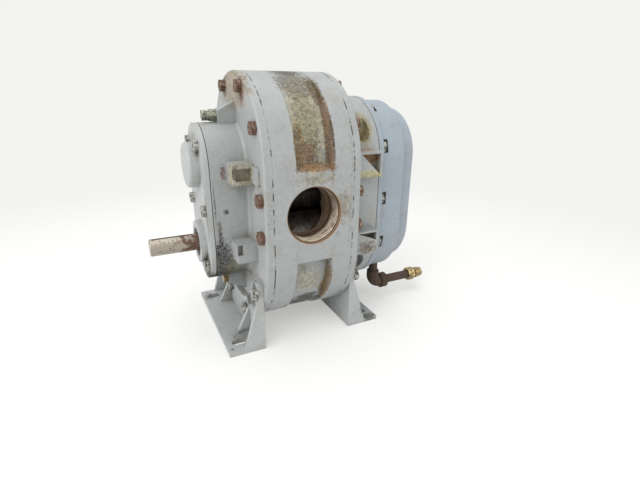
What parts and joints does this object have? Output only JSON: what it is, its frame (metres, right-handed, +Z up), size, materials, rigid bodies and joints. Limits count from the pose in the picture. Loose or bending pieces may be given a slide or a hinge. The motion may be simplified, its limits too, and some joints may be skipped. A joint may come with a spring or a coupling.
{
  "type": "roots vacuum pump",
  "caption": "Foot-mounted roots blower and vacuum pump with meshing lobed rotors, timing gears, threaded side ports and a keyed drive shaft.",
  "frame": {"origin": "centre of the four foot slots, on the floor under the middle of the cylinder", "axes": "+X along the shafts towards the timing gears, -X out of the drive shaft, +Y towards one port and -Y towards the other, +Z up"},
  "size_m": [0.4201, 0.2206, 0.3395],
  "materials": {
    "grey_enamel": "worn semi-gloss light grey enamel on cast iron and plate",
    "cast_iron": "machined grey iron",
    "machined_steel": "turned and ground steel",
    "bolt_steel": "rusty dirty steel",
    "black_iron": "oily black malleable iron",
    "brass": "dull brass",
    "seal_rubber": "black nitrile rubber",
    "gasket": "oily fibre gasket sheet"
  },
  "bodies": {
    "housing": {"bearing_retainer": "machined_steel", "cylinder": "grey_enamel", "drain_elbow": "black_iron", "drain_fitting": "brass", "drain_nipple": "black_iron", "drain_plug": "brass", "drive_cover_bolts": "bolt_steel", "drive_cover_gasket": "gasket", "drive_dowels": "machined_steel", "drive_end_cover": "grey_enamel", "drive_foot": "grey_enamel", "drive_foot_bolts": "bolt_steel", "drive_headplate": "grey_enamel", "drive_headplate_bolts": "bolt_steel", "drive_shaft_drive_end_oil_seal": "seal_rubber", "drive_shaft_drive_end_outer_ring": "machined_steel", "drive_shaft_gear_end_oil_seal": "seal_rubber", "drive_shaft_gear_end_outer_ring": "machined_steel", "drive_shaft_oil_seal": "seal_rubber", "driven_shaft_drive_end_oil_seal": "seal_rubber", "driven_shaft_drive_end_outer_ring": "machined_steel", "driven_shaft_gear_end_oil_seal": "seal_rubber", "driven_shaft_gear_end_outer_ring": "machined_steel", "gear_cover": "grey_enamel", "gear_cover_bolts": "bolt_steel", "gear_cover_gasket": "gasket", "gear_dowels": "machined_steel", "gear_foot": "grey_enamel", "gear_foot_bolts": "bolt_steel", "gear_headplate": "grey_enamel", "gear_headplate_bolts": "bolt_steel", "level_plug": "bolt_steel", "retainer_screws": "bolt_steel", "vent_plug": "bolt_steel"},
    "drive_rotor_set": {"drive_rotor": "cast_iron", "drive_shaft": "machined_steel", "drive_timing_gear": "machined_steel", "drive_gear_key": "machined_steel", "drive_gear_spacer": "machined_steel", "drive_gear_washer": "machined_steel", "drive_gear_nut": "machined_steel", "oil_slinger": "machined_steel", "drive_shaft_drive_end_inner_ring": "machined_steel", "drive_shaft_gear_end_inner_ring": "machined_steel", "drive_shaft_drive_end_rollers": "machined_steel", "drive_shaft_gear_end_rollers": "machined_steel"},
    "driven_rotor_set": {"driven_rotor": "cast_iron", "driven_shaft": "machined_steel", "driven_timing_gear": "machined_steel", "driven_gear_key": "machined_steel", "driven_gear_spacer": "machined_steel", "driven_gear_washer": "machined_steel", "driven_gear_nut": "machined_steel", "driven_shaft_drive_end_inner_ring": "machined_steel", "driven_shaft_gear_end_inner_ring": "machined_steel", "driven_shaft_drive_end_rollers": "machined_steel", "driven_shaft_gear_end_rollers": "machined_steel"}
  },
  "joints": [
    {"name": "drive_spin", "type": "hinge", "parent": "housing", "child": "drive_rotor_set", "pos_m": [0, 0, 0.1276], "axis": [1, 0, 0], "continuous": true},
    {"name": "driven_spin", "type": "hinge", "parent": "housing", "child": "driven_rotor_set", "pos_m": [0, 0, 0.2292], "axis": [1, 0, 0], "continuous": true}
  ],
  "couplings": [
    {"joint": "driven_spin", "follows": "drive_spin", "ratio": -1}
  ]
}
